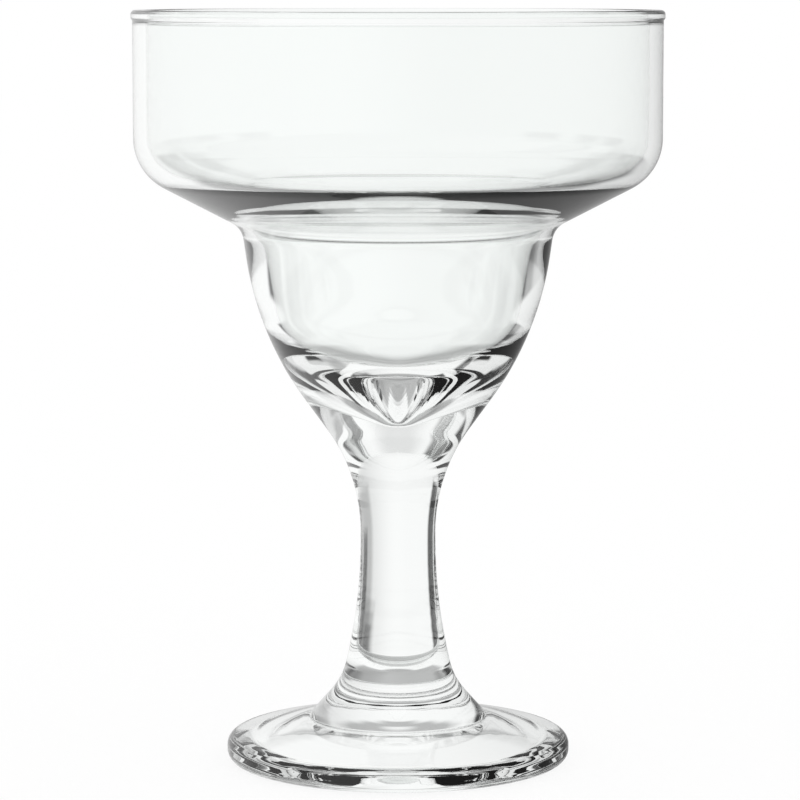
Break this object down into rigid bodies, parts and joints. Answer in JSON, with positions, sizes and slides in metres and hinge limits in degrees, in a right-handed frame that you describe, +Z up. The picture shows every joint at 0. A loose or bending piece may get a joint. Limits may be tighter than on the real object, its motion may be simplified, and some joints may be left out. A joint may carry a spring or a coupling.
{
  "type": "margarita glass",
  "caption": "Clear stemmed cocktail glass with a wide stepped bowl, a solid waisted stem and a round foot, for serving margaritas.",
  "frame": {"origin": "middle of the resting face under the foot", "axes": "+Z up along the glass's axis, from the foot to the lip; X and Y are any two level directions, because the glass is round"},
  "size_m": [0.101, 0.101, 0.1439],
  "materials": {
    "clear_glass": "clear, fire-polished, with a faint green tint where it is thick"
  },
  "bodies": {
    "root": {"bowl": "clear_glass", "stem": "clear_glass", "foot": "clear_glass"}
  },
  "joints": []
}
